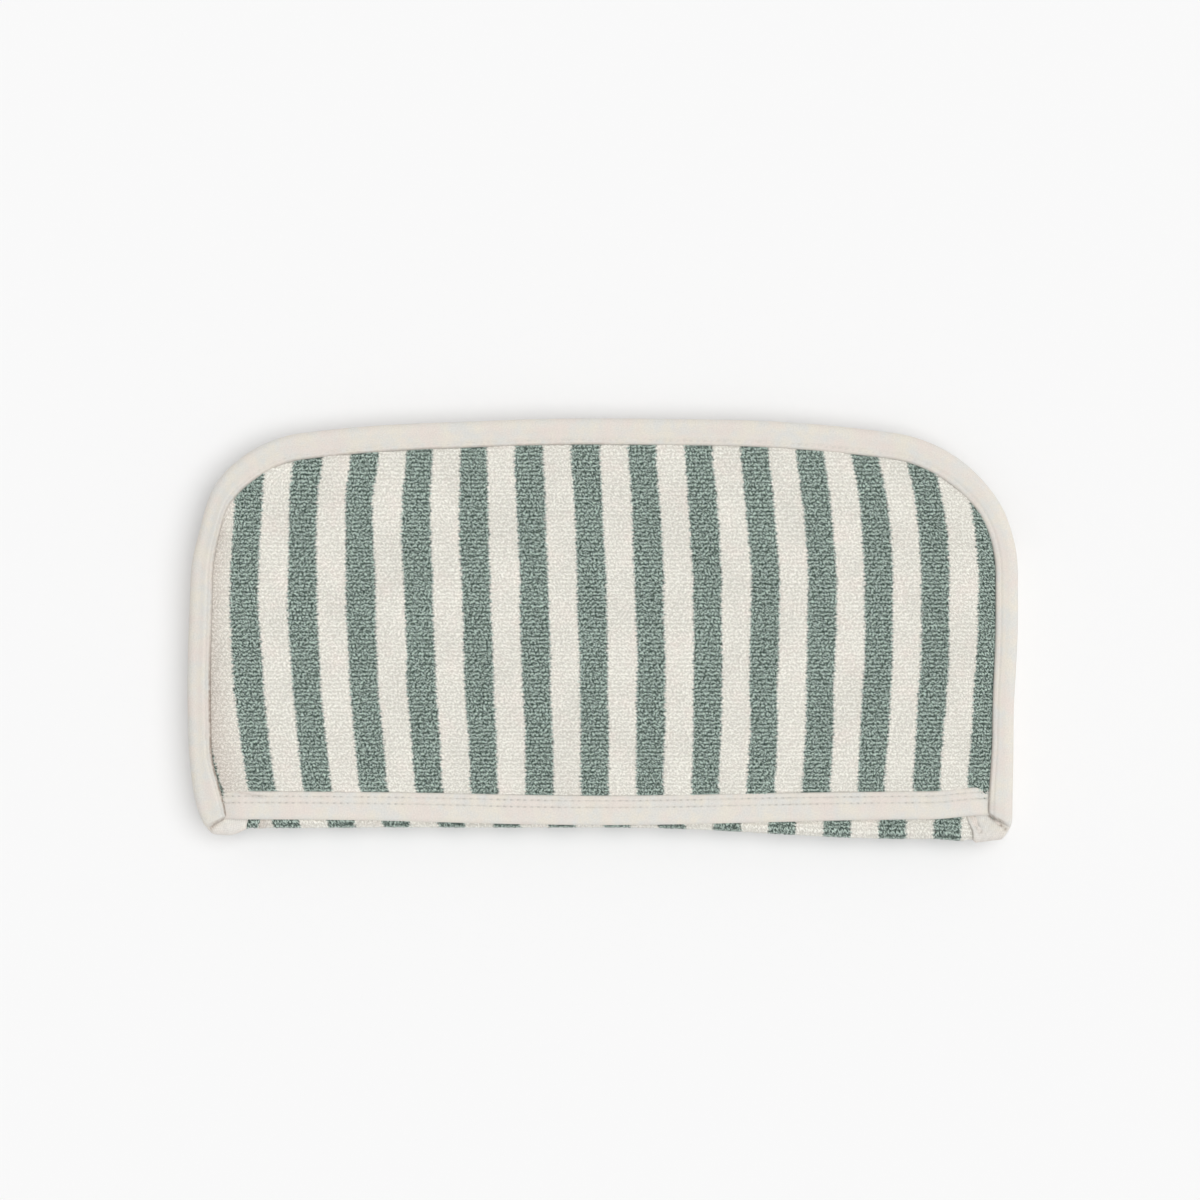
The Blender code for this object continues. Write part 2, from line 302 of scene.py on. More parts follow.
def ripple(x, y, seed, shortest, longest, waves=7):
    """A gentle uneven field between about -1 and 1."""
    draws = np.random.default_rng(seed)
    total = np.zeros(np.broadcast(x, y).shape)
    for _ in range(waves):
        length = draws.uniform(shortest, longest)
        heading = draws.uniform(0, math.pi)
        phase = draws.uniform(0, 2 * math.pi)
        along = x * math.cos(heading) + y * math.sin(heading)
        total = total + np.sin(2 * math.pi * along / length + phase)
    return total / math.sqrt(waves) / 1.2


def scatter(i, j, k):
    """A number from 0 to 1 for each cell (i, j), different for each k."""
    n = np.sin(i * 127.1 + j * 311.7 + k * 74.7) * 43758.5453
    return n - np.floor(n)


def loop_field(u, v):
    """The terry's pile, 0 in the gaps and 1 at the loops' tops.

    Each loop is a short ridge that leans one way or the other, a little off its place, and its height varies.
    """
    row = np.floor(v / LOOP_ROW)
    column = np.floor(u / LOOP_COLUMN)
    pile = np.zeros_like(u)
    for di in (-1, 0, 1):
        for dj in (-1, 0, 1):
            i, j = column + di, row + dj
            centre_u = (i + 0.5 + 0.5 * (j % 2) + 0.7 * (scatter(i, j, 1) - 0.5)) * LOOP_COLUMN
            centre_v = (j + 0.5 + 0.45 * (scatter(i, j, 2) - 0.5)) * LOOP_ROW
            lean = LOOP_LEAN * np.where(scatter(i, j, 3) > 0.35, 1, -1) * (0.5 + scatter(i, j, 4))
            tall = 0.7 + 0.3 * scatter(i, j, 5)
            du, dv = u - centre_u, v - centre_v
            along = (du * np.cos(lean) + dv * np.sin(lean)) / LOOP_HALF_LENGTH
            across = (-du * np.sin(lean) + dv * np.cos(lean)) / LOOP_HALF_WIDTH
            pile = np.maximum(pile, tall * np.sqrt(np.clip(1 - along**2 - across**2, 0, 1)))
    return pile


# ---------------- the towel's shape


class Corner:
    """The arc that joins a side to the crowned end."""

    def __init__(self, radius, top):
        self.radius = radius
        self.x = HALF_WIDTH - radius
        self.angle = math.asin(self.x / (CROWN_RADIUS - radius))
        self.y = top - CROWN_RADIUS + (CROWN_RADIUS - radius) * math.cos(self.angle)


def end_height(u, top, inset):
    """How far the rounded end reaches at u, with its edge set in."""
    crown = top - CROWN_RADIUS + np.sqrt((CROWN_RADIUS - inset) ** 2 - u**2)
    height = crown
    for sign, radius in ((-1, LEFT_CORNER_RADIUS), (1, RIGHT_CORNER_RADIUS)):
        corner = Corner(radius, top)
        out = np.clip(sign * u - corner.x, 0, radius - inset)
        rounded = corner.y + np.sqrt((radius - inset) ** 2 - out**2)
        past = sign * u > (CROWN_RADIUS - inset) * math.sin(corner.angle)
        height = np.where(past, rounded, height)
    return height


def end_outline(low_y, top, step):
    """Points round a rounded end, evenly spaced: up the left side, over the crown and down the right side."""
    points = [(-HALF_WIDTH, low_y)]
    left, right = Corner(LEFT_CORNER_RADIUS, top), Corner(RIGHT_CORNER_RADIUS, top)
    for t in np.linspace(0, math.pi / 2 - left.angle, CORNER_POINTS):
        points.append((-left.x - left.radius * math.cos(t), left.y + left.radius * math.sin(t)))
    for t in np.linspace(-left.angle, right.angle, CROWN_POINTS):
        points.append((CROWN_RADIUS * math.sin(t), top - CROWN_RADIUS + CROWN_RADIUS * math.cos(t)))
    for t in np.linspace(math.pi / 2 - right.angle, 0, CORNER_POINTS):
        points.append((right.x + right.radius * math.cos(t), right.y + right.radius * math.sin(t)))
    points.append((HALF_WIDTH, low_y))
    return evenly(np.array(points), step)


def evenly(points, step):
    """The same line with points an even step apart."""
    moved = np.linalg.norm(np.diff(points, axis=0), axis=1) > 1e-9
    points = points[np.concatenate([[True], moved])]
    s = lengths_along(points)
    at = np.linspace(0, s[-1], int(s[-1] / step) + 1)
    return np.column_stack([np.interp(at, s, points[:, i]) for i in range(points.shape[1])])


def fold_shift(x):
    """The first fold isn't straight: it comes forward to the right, and bulges at its ends."""
    slope = FOLD_BACK - ramp_up(x, *FOLD_FORWARD)
    return slope - (swell(x, *FOLD_LEFT_BULGE) + swell(x, *FOLD_RIGHT_BULGE))


def rounding(y, depth, start, length):
    """A bottom corner's quarter round, as how far it lies in at y."""
    down = np.clip((start - y) / length, 0, ROUND_LIMIT)
    return depth * (1 - np.sqrt(1 - down**2))


def side_pull(x, y):
    """How far each side lies in from its straight line. Both bottom corners are rounded."""
    left = swell(y, *LEFT_WAIST) - swell(y, *LEFT_BELLY)
    left = left + ramp_down(y, *LEFT_FOOT) + rounding(y, *LEFT_ROUND)
    right = ramp_down(y, *RIGHT_WAIST) + ramp_down(y, *RIGHT_FOOT)
    right = right + rounding(y, *RIGHT_ROUND) - swell(y, *RIGHT_SHOULDER)
    return np.where(x < 0, left, -right) * MM


def pull_in(x, y):
    """The sides' shape, as a change of x that fades out towards the middle."""
    return side_pull(x, y) * ramp_up(np.abs(x), *SIDE_BAND)


def push_up(x, y):
    """The top edge is a little fuller than an arc on both sides of its middle."""
    fuller = sum(swell(x, *shoulder) for shoulder in TOP_SHOULDERS)
    return TOP_FULLNESS * fuller * ramp_up(y, *TOP_BAND)


def unevenness(x, y):
    return UNEVEN_HEIGHT * ripple(x, y, *UNEVEN)


def lie(x, y, wrinkled=1.0):
    """How the towel lies out of flat: it droops at its top edge, is wrinkled on the left, and is uneven."""
    wrinkle_x, wrinkle_y = WRINKLE_PLACE
    off_wrinkle = y - wrinkle_y - WRINKLE_SLOPE * (x - wrinkle_x)
    groove = np.exp(-((off_wrinkle / WRINKLE_WIDTH) ** 2)) * swell(x, *WRINKLE_SPAN)
    return unevenness(x, y) - ramp_up(y, *DROOP) - WRINKLE_DEPTH * wrinkled * MM * groove


def settle(points, wrinkled=1.0):
    """Laid-out points of the hood and the front moved to where the folded cloth lies."""
    x, y, z = np.moveaxis(points, -1, 0)
    return np.stack([x + pull_in(x, y), y + push_up(x, y), z + lie(x, y, wrinkled)], axis=-1)


# ---------------- meshes


def grid_faces(rows, columns, start=0, flip=False):
    """The quads of a grid of points, numbered from start."""
    i, j = np.meshgrid(np.arange(rows - 1), np.arange(columns - 1), indexing="ij")
    corner = start + (i * columns + j).ravel()
    quads = np.column_stack([corner, corner + 1, corner + columns + 1, corner + columns])
    return quads[:, ::-1] if flip else quads


def finish_mesh(name, points, faces, flat, material, values=None, kind="pile"):
    """An object from points and faces, with its flat coordinates as UVs and its values as an attribute."""
    mesh = bpy.data.meshes.new(name)
    mesh.from_pydata(points.tolist(), [], faces)
    layer = mesh.uv_layers.new(name="flat")
    corners = np.zeros(len(mesh.loops), np.int32)
    mesh.loops.foreach_get("vertex_index", corners)
    layer.data.foreach_set("uv", flat[corners].astype(np.float32).ravel())
    if values is not None:
        named = mesh.attributes.new(kind, "FLOAT", "POINT")
        named.data.foreach_set("value", values.astype(np.float32))
    mesh.polygons.foreach_set("use_smooth", np.ones(len(mesh.polygons), bool))
    mesh.materials.append(material)
    mesh.update()
    made = bpy.data.objects.new(name, mesh)
    bpy.context.scene.collection.objects.link(made)
    return made


def slab(name, top, bottom, flat, ratio, material, pile=None):
    """A closed sheet: a grid of points above, one ratio times as coarse below, and a rim between."""
    rows, columns = top.shape[:2]
    low_rows, low_columns = bottom.shape[:2]
    low_start = rows * columns
    faces = grid_faces(rows, columns).tolist()
    faces += grid_faces(low_rows, low_columns, low_start, flip=True).tolist()
    upper = np.arange(rows * columns).reshape(rows, columns)
    lower = low_start + np.arange(low_rows * low_columns).reshape(low_rows, low_columns)
    edges = (
        (upper[0], lower[0]),
        (upper[:, -1], lower[:, -1]),
        (upper[-1, ::-1], lower[-1, ::-1]),
        (upper[::-1, 0], lower[::-1, 0]),
    )
    for above, below in edges:
        for k in range(len(below) - 1):
            along = above[k * ratio : (k + 1) * ratio + 1][::-1]
            faces.append([int(below[k]), int(below[k + 1]), *map(int, along)])
    points = np.concatenate([top.reshape(-1, 3), bottom.reshape(-1, 3)])
    flats = np.concatenate([flat.reshape(-1, 2), flat[::ratio, ::ratio].reshape(-1, 2)])
    values = None
    if pile is not None:
        underside = np.full(low_rows * low_columns, 0.6)
        values = np.concatenate([pile.ravel(), underside])
    return finish_mesh(name, points, faces, flats, material, values)


def tube_grid(name, sections, flat, material, crease):
    """A closed sleeve. sections is (stations, points round, 3), and crease is 1 where painted shade makes it
    darkest.
    """
    stations, around = sections.shape[:2]
    i, j = np.meshgrid(np.arange(stations - 1), np.arange(around), indexing="ij")
    i, j = i.ravel(), j.ravel()
    following = (j + 1) % around
    here, ahead = i * around, (i + 1) * around
    faces = np.column_stack([here + j, here + following, ahead + following, ahead + j]).tolist()
    faces.append(list(range(around))[::-1])
    faces.append([(stations - 1) * around + k for k in range(around)])
    points = sections.reshape(-1, 3)
    return finish_mesh(name, points, faces, flat.reshape(-1, 2), material, crease.ravel(), "crease")


# ---------------- materials


def new_material(name, roughness, sheen):
    made = bpy.data.materials.new(name)
    made.use_nodes = True
    shader = made.node_tree.nodes["Principled BSDF"]
    shader.inputs["Roughness"].default_value = roughness
    shader.inputs["Specular IOR Level"].default_value = 0.2
    shader.inputs["Sheen Weight"].default_value = sheen
    shader.inputs["Sheen Roughness"].default_value = 0.6
    return made, shader, Nodes(made.node_tree)


class Value:
    """A value that varies over the surface: a node's output, with arithmetic that makes more nodes."""

    def __init__(self, nodes, socket):
        self.nodes, self.socket = nodes, socket

    def __add__(self, other):
        return self.nodes.math("ADD", self, other)

    def __sub__(self, other):
        return self.nodes.math("SUBTRACT", self, other)

    def __mul__(self, other):
        return self.nodes.math("MULTIPLY", self, other)

    def __truediv__(self, other):
        return self.nodes.math("DIVIDE", self, other)


class Nodes:
    """Short forms for the few node types the materials use."""

    def __init__(self, tree):
        self.tree = tree

    def link(self, source, target):
        if isinstance(source, Value):
            self.tree.links.new(source.socket, target)
        else:
            target.default_value = source

    def node(self, kind, sources, output=0, **settings):
        """A node with its inputs, by name or number, linked or set. settings are its own properties."""
        made = self.tree.nodes.new("ShaderNode" + kind)
        for key, value in settings.items():
            setattr(made, key, value)
        for key, source in sources.items():
            self.link(source, made.inputs[key])
        return made.outputs if output is None else Value(self, made.outputs[output])

    def math(self, operation, *values):
        return self.node("Math", dict(enumerate(values)), operation=operation)

    def between(self, value, low, high, to_low=0.0, to_high=1.0):
        """value moved from one range to another, with soft ends."""
        sources = dict(enumerate((value, low, high, to_low, to_high)))
        return self.node("MapRange", sources, interpolation_type="SMOOTHSTEP")

    def mix(self, factor, a, b, kind="MIX"):
        sources = {"Factor": factor, "A": a, "B": b}
        return self.node("Mix", sources, "Result", data_type="RGBA", blend_type=kind)

    def shaded(self, colour, shade):
        """A colour times a grey."""
        return self.mix(1.0, colour, self.join(shade, shade, shade), "MULTIPLY")

    def flat(self):
        """The cloth's flat coordinates, whole and as u and v."""
        uv = self.node("UVMap", {}, uv_map="flat")
        u, v, _ = self.node("SeparateXYZ", {0: uv}, None)
        return uv, Value(self, u), Value(self, v)

    def join(self, x, y, z=0.0):
        return self.node("CombineXYZ", {0: x, 1: y, 2: z})

    def noise(self, vector, scale, detail=2.0, rough=0.5):
        sources = {"Vector": vector, "Scale": scale, "Detail": detail, "Roughness": rough}
        return self.node("TexNoise", sources)

    def cells(self, vector, scale, chance):
        return self.node("TexVoronoi", {"Vector": vector, "Scale": scale, "Randomness": chance})

    def speck(self, vector):
        return self.node("TexWhiteNoise", {"Vector": vector})

    def attribute(self, name):
        return self.node("Attribute", {}, "Fac", attribute_name=name)

    def bump(self, height, strength, distance):
        return self.node("Bump", {"Height": height, "Strength": strength, "Distance": distance})


def terry_material(name, fine):
    """Striped terry. fine is for cloth whose loops are in its mesh; otherwise they are in the material.

    Scales of noise are per metre.
    """
    made, shader, nodes = new_material(name, 0.95, 0.25)
    uv, u, v = nodes.flat()
    row = v / LOOP_ROW
    # The stripes' edges: each row of loops is shifted a little, and loops stray over the edge.
    jog = (nodes.speck(nodes.join(nodes.math("FLOOR", row), 3.0)) - 0.5) * (0.4 * MM)
    drift = (nodes.noise(nodes.join(u * 0.45, v), 950.0, 2.0, 0.7) - 0.5) * (4.6 * MM)
    from_cream = nodes.math("PINGPONG", (u + (jog + drift)) / STRIPE_PERIOD, 0.5)
    green = nodes.between(from_cream, 0.222, 0.276, 1.0, 0.0)
    if fine:
        pile = nodes.attribute("pile")
    else:
        loops = nodes.cells(nodes.join(u / LOOP_COLUMN, row), 1.0, 0.8)
        pile = nodes.between(loops, 0.15, 0.72, 1.0, 0.0)
    # The loops' painted highlight and shade, light on their tops and dark in the gaps: wavy rows, slanted
    # strokes and the yarn, over the pile's own height.
    sway = nodes.noise(nodes.join(u, (v + u) * 0.7), 820.0, 1.0) - 0.5
    row_light = nodes.between(nodes.math("PINGPONG", row + sway * 3.6, 0.5), 0.06, 0.44)
    slanted = nodes.join(u * 0.62, (v + u * 0.75) * 1.2)
    stroke = nodes.between(nodes.noise(slanted, 1500.0, 1.0, 0.5), 0.39, 0.61)
    squiggle = stroke * 0.55 + row_light * 0.38
    yarn = nodes.noise(uv, 2600.0, 2.0, 0.6)
    height = pile * 0.34 + squiggle * 0.5 + yarn * 0.2
    light = nodes.between(height, 0.24, 0.72)
    # The cream is blushed in patches, and near the left edge it is darker with painted shade and pinker.
    blush = nodes.between(nodes.noise(uv, 70.0, 3.0, 0.6), 0.45, 0.75, 0.0, 0.7)
    edge_shade = nodes.between(u, *EDGE_SHADE_SPAN, 0.85, 0.0)
    cream_colour = nodes.mix(blush, nodes.mix(light, *CREAM), nodes.mix(light, *BLUSH))
    cream_colour = nodes.mix(edge_shade, cream_colour, nodes.mix(light, *EDGE_SHADE))
    colour = nodes.mix(green, cream_colour, nodes.mix(light, *GREEN))
    shade = nodes.between(nodes.noise(uv, 28.0, 3.0, 0.6), 0.3, 0.7, 0.95, 1.03)
    nodes.link(nodes.shaded(colour, shade), shader.inputs["Base Color"])
    depth = 0.25 * MM if fine else 0.7 * MM
    nodes.link(nodes.bump(height, 0.9, depth), shader.inputs["Normal"])
    return made


def tape_material(name, rows=(), depth=0.0):
    """Cream bias tape: a fine weave slantwise to the tape, mottled, with painted shade at the needle holes in
    rows.
    """
    made, shader, nodes = new_material(name, 0.8, 0.2)
    uv, u, v = nodes.flat()
    bent = u + (nodes.noise(uv, 220.0, 2.0) - 0.5) * (0.8 * MM)
    over, under = (nodes.math("SINE", diagonal * WEAVE_TURN) for diagonal in (bent + v, bent - v))
    weave = over * under
    slub = nodes.noise(uv, 1300.0, 2.0, 0.6)
    warm = nodes.between(nodes.noise(uv, 90.0, 3.0, 0.6), 0.36, 0.64)
    pink = nodes.between(nodes.noise(nodes.join(v, u, 0.3), 60.0, 3.0, 0.6), 0.4, 0.7)
    base = nodes.mix(pink, nodes.mix(warm, TAPE_GREY, TAPE_WARM), TAPE_PINK)
    shade = weave * 0.09 + slub * 0.32 + 0.865
    uneven = nodes.between(nodes.noise(uv, 75.0, 2.0), 0.35, 0.65, 0.35, 1.0)
    # Painted shade at each needle hole of a row; depth is how dark it is.
    for row in rows:
        from_hole = nodes.math("PINGPONG", u, STITCH_LENGTH / 2)
        from_row = nodes.math("ABSOLUTE", v - row)
        along = nodes.between(from_hole, 0.35 * MM, 1.1 * MM, 1.0, 0.15)
        shade -= along * nodes.between(from_row, 0.15 * MM, 0.55 * MM, depth, 0.0) * uneven
    # Painted shade in the tape's creases and under its inner edge, broken up in patches, turns it brown.
    broken = nodes.between(nodes.noise(uv, 420.0, 2.0, 0.6), 0.3, 0.6, 0.35, 1.0)
    painted_shade = nodes.attribute("crease") * broken
    colour = nodes.mix(painted_shade, nodes.shaded(base, shade), CREASE_SHADE)
    nodes.link(colour, shader.inputs["Base Color"])
    nodes.link(nodes.bump(weave + slub * 1.5, 0.6, 0.12 * MM), shader.inputs["Normal"])
    return made


def thread_material(name):
    made, shader, nodes = new_material(name, 0.6, 0.1)
    _, u, v = nodes.flat()
    twist = nodes.math("SINE", (u + v) * (2 * math.pi / THREAD_TWIST))
    colour = nodes.mix(nodes.between(twist, -1.0, 1.0), *THREAD_COLOURS)
    nodes.link(colour, shader.inputs["Base Color"])
    nodes.link(nodes.bump(twist, 0.5, 0.05 * MM), shader.inputs["Normal"])
    return made


FINE_TERRY = terry_material("terry_looped", True)
TERRY = terry_material("terry_plain", False)
TAPE = tape_material("bias_tape")
EDGE_TAPE = tape_material("edge_tape", (EDGE_STITCH_INSET - SECTION_START,), 0.1)
MOUTH_TAPE = tape_material("mouth_tape", tuple(row - SECTION_START for row in MOUTH_ROWS), 0.3)
THREAD = thread_material("sewing_thread")


# ---------------- terry


def hood_bow(u, y):
    """How far sideways the hood's cloth is pulled: its stripes bow out at mid height and lean at the top."""
    t = np.clip((y - HOOD_SEAM) / (HOOD_TOP - HOOD_SEAM), 0, 1)
    w = u / BOW_UNIT
    bow = powers(w, BOW) * np.sin(np.pi * t) + powers(w, BOW_LEAN) * t
    twist = powers(w, BOW_TWIST) * np.sin(2 * np.pi * t)
    kink = ramp_up(y, *KINK) * swell(u, *KINK_SPAN)
    wander = 0.35 * ripple(u, y, *WANDER)
    return (bow + twist + kink + wander) * MM


def hood_flat(x, y):
    """The flat u of the hood's cloth that lies at x."""
    u = x.copy()
    for _ in range(3):
        u = x - hood_bow(u, y)
    return u


def panel_points(word, u, v):
    """Where a flat panel's cloth lies, by the panel's name."""
    near_first = 1 - ramp_up(v, 1, FOLD_Y["first"], FOLD_FADE)
    shift = fold_shift(u)
    if word in ("third", "end"):
        shift = LOWER_FOLD_SHARE * shift + LOWER_FOLD_BACK
    x = u * (1 - LAYER_INSET[word] / HALF_WIDTH) + LAYER_SHIFT[word]
    return np.stack([x, v + shift * near_first, np.full_like(u, LEVELS[word])], axis=-1)


def laid(word, points, pulled=True):
    """A layer's points after settling. At their tops the front droops and the end curls up."""
    x, y, z = np.moveaxis(points, -1, 0)
    if word == "front":
        settled = settle(points, FRONT_WRINKLE)
    else:
        curl = ramp_up(y, *END_CURL) if word == "end" else 0.0
        settled = np.stack([x + pull_in(x, y), y, z + LAYER_SHARE[word] * unevenness(x, y) + curl], axis=-1)
    if not pulled:
        settled[..., 0] = x
    return settled


def edge_thinning(u, v, top, inset):
    """Terry is pressed flat near its binding: 1 in the open, less at the edge."""
    side = HALF_WIDTH - np.abs(u)
    above = end_height(np.clip(u, -HALF_WIDTH + inset, HALF_WIDTH - inset), top, 0) - v
    return 0.3 + ramp_up(np.minimum(side, above), 0.7, 10 * MM, 7 * MM)


def side_thinning(u, reach):
    """The same for a piece that is bound at its sides only."""
    return 0.5 + ramp_up(HALF_WIDTH - np.abs(u) - reach, 0.5, -1.5 * MM, 4 * MM)


def column_count(half, step, ratio=1):
    """How many columns of points a sheet has, so that every ratio-th one is there on both sides."""
    return ratio * round(2 * half / step / ratio) + 1


def spread_grid(half, shape):
    """The same even run from side to side for each row of a grid."""
    return np.broadcast_to(np.linspace(-half, half, shape[1]), shape).copy()


def make_hood_terry():
    step = FINE_STEP
    ratio = FINE_RATIO
    half = HALF_WIDTH - HOOD_SIDE_INSET
    rows = ratio * round((HOOD_TOP - HOOD_LOW) / step / ratio) + 1
    x = spread_grid(half, (rows, column_count(half, step, ratio)))
    top = end_height(x[0], HOOD_TOP, HOOD_TOP_INSET)
    v = HOOD_LOW + np.linspace(0, 1, rows)[:, None] * (top - HOOD_LOW)
    u = hood_flat(x, v)
    pile = loop_field(u, v)
    pressed_at_mouth = 0.6 + ramp_up(v, 0.4, HOOD_SEAM, 8 * MM)
    thin = edge_thinning(x, v, HOOD_TOP, HOOD_TOP_INSET) * pressed_at_mouth
    puff = 0.5 * MM * ripple(x, v, *HOOD_PUFF) * thin
    settled = settle(np.stack([x, v, np.full_like(x, HOOD_LEVEL)], axis=-1))
    upper = settled + upward(TERRY_HALF * thin + LOOP_HEIGHT * pile + puff)
    lower = (settled - upward(TERRY_HALF * thin + 0.3 * MM))[::ratio, ::ratio]
    flat = np.stack([u - HOOD_STRIPE_SHIFT, v], axis=-1)
    return slab("hood_terry", upper, lower, flat, ratio, FINE_TERRY, pile)


def make_panel(word, name, low_v, high_v, top=None):
    """A coarse terry panel. top is the rounded end's height, or None for a panel between two folds."""
    inset = PANEL_INSET
    half = HALF_WIDTH - inset
    rows = round((high_v - low_v) / COARSE_STEP) + 1
    u = spread_grid(half, (rows, column_count(half, COARSE_STEP)))
    reach = np.full_like(u[0], high_v) if top is None else end_height(u[0], top, inset)
    v = low_v + np.linspace(0, 1, rows)[:, None] * (reach - low_v)
    base = laid(word, panel_points(word, u, v))
    uneven = 0.25 * MM * ripple(u, v, *PANEL_PUFF)
    thick = TERRY_HALF + COARSE_LOOPS
    thin = side_thinning(u, TAPE_REACH) if top is None else edge_thinning(u, v, top, inset)
    upper = base + upward((thick + uneven) * thin)
    lower = base - upward((thick + uneven[::-1]) * thin)
    flat = np.stack([u - BODY_STRIPE_SHIFT, v], axis=-1)
    return slab(name, upper, lower, flat, 1, TERRY)


def turn_frames(fold, upper, lower, u, angle, before=0.0):
    """Points and outward directions on a fold's half turn, and on a strip of the upper panel before it.

    angle is 0 at the upper panel and pi at the lower. before is how far a point lies before the turn.
    """
    outward = 1 if fold == "second" else -1
    axis = np.full_like(u, FOLD_Y[fold])
    above = laid(upper, panel_points(upper, u, axis - outward * before), pulled=False)
    below = laid(lower, panel_points(lower, u, axis), pulled=False)
    share = (1 - np.cos(angle)) / 2
    line = above * (1 - share[..., None]) + below * share[..., None]
    radius = (above[..., 2] - below[..., 2]) / 2
    centre_z = (above[..., 2] + below[..., 2]) / 2
    y = line[..., 1] + outward * radius * np.sin(angle)
    z = centre_z + radius * np.cos(angle)
    x = line[..., 0] + pull_in(line[..., 0], y)
    normal = np.stack([0 * u, outward * np.sin(angle), np.cos(angle)], axis=-1)
    return np.stack([x, y, z], axis=-1), normal


def turn_stations(strip, step, turn_step, ratio=1):
    """Rows of a fold: how far each lies before the turn, and its angle round it."""
    strip_rows = ratio * round(strip / step / ratio)
    turn_rows = ratio * max(3, round(TURN_LENGTH / turn_step / ratio))
    before = np.concatenate([np.linspace(strip, 0, strip_rows, endpoint=False), np.zeros(turn_rows + 1)])
    angle = np.concatenate([np.zeros(strip_rows), np.linspace(0, math.pi, turn_rows + 1)])
    return before, angle


def make_turn(fold, upper, lower, name, step, fine, strip=0.0):
    """The terry where it turns from one panel into the next."""
    half = HALF_WIDTH - PANEL_INSET
    ratio = FINE_RATIO if fine else 1
    before, angle = turn_stations(strip, step, step, ratio)
    u = spread_grid(half, (len(angle), column_count(half, step, ratio)))
    before = np.broadcast_to(before[:, None], u.shape)
    angle = np.broadcast_to(angle[:, None], u.shape)
    points, normal = turn_frames(fold, upper, lower, u, angle, before)
    v = FOLD_Y[fold] + before - angle * TURN_RADIUS
    thick = TERRY_HALF + (0.1 * MM if fine else COARSE_LOOPS)
    pile = loop_field(u, v) if fine else np.zeros_like(u)
    reach = np.where(u < 0, WIDE_LEFT, WIDE_RIGHT) if fine else TAPE_REACH
    thin = side_thinning(u, reach)
    outside = points + normal * ((thick + LOOP_HEIGHT * pile) * thin)[..., None]
    inside = points - normal * (thick * 0.8 * thin)[..., None]
    weights = angle / math.pi
    pleat = ramp_down(u, *PLEAT) * (1 - weights) if fine else 0.0
    flat = np.stack([u - pleat - BODY_STRIPE_SHIFT, v], axis=-1)
    grids = [outside, inside, flat, pile, weights]
    if fold != "second":
        grids = [grid[::-1] for grid in grids]
    outside, inside, flat, pile, weights = grids
    material = FINE_TERRY if fine else TERRY
    made = slab(name, outside, inside[::ratio, ::ratio], flat, ratio, material, pile if fine else None)
    return made, np.concatenate([weights.ravel(), weights[::ratio, ::ratio].ravel()])


# ---------------- tape


def tape_section(height, reach, nose, crown=FOLD_TAPE_CROWN):
    """The tape's closed section round an edge, as (distance in, height) pairs, from its upper inner edge.

    nose is how deep its round outer edge is, and crown how far its faces swell.
    """
    half = height / 2
    inner_half = half - TAPE_THICKNESS
    down = np.linspace(math.pi / 2, -math.pi / 2, 15)
    flap = np.linspace(reach - SECTION_START, nose, 22)
    share = np.clip((flap - nose) / (reach - nose), 0, 1)
    puff = crown * np.sin(np.pi * share**1.3)
    rolled = 0.45 * MM * smooth((share - 0.86) / 0.14)
    upper = [(d, half + rise) for d, rise in zip(flap[:-1], (puff - rolled)[:-1])]
    round_nose = [(nose - nose * math.cos(a), half * math.sin(a)) for a in down]
    lower = [(d, -half - rise) for d, rise in zip(flap[:-1][::-3], (0.3 * puff)[:-1][::-3])]
    turn_in_low = [(reach, -half + 0.35 * MM), (reach - 0.1 * MM, -half + TAPE_LIP)]
    hem = reach - 1.6 * MM
    inside_low = [(d, -inner_half) for d in np.linspace(hem, nose, 4)]
    inner_nose = nose - TAPE_THICKNESS
    inside_round = [(nose - inner_nose * math.cos(a), inner_half * math.sin(a)) for a in down[::-2]]
    inside_high = [(d, inner_half) for d in np.linspace(nose, hem, 4)]
    turn_in_high = [(reach - 0.1 * MM, half - TAPE_LIP), (reach, half - 0.8 * MM)]
    inside = inside_low + inside_round + inside_high
    return np.array(upper + round_nose + lower + turn_in_low + inside + turn_in_high)


def inward_along(path):
    """The horizontal direction into the cloth, to the right of the way the path runs."""
    ahead = np.gradient(path, axis=0)
    ahead /= np.linalg.norm(ahead, axis=1)[:, None]
    return np.column_stack([ahead[:, 1], -ahead[:, 0]])


def needle_pull(d, s, seam):
    """How far a row of stitches at seam draws the tape in: a groove, tighter at each stitch."""
    groove = 0.42 * MM * np.exp(-(((d - seam) / (0.6 * MM)) ** 2))
    pucker = 1 + 0.45 * math.cos(2 * math.pi * s / STITCH_LENGTH)
    pull = 0.1 * MM * math.sin(2 * math.pi * s / (9.3 * MM) + 2.1 * math.sin(s / (31 * MM)))
    return groove * pucker + pull * np.exp(-(((d - seam) / (3.2 * MM)) ** 2))


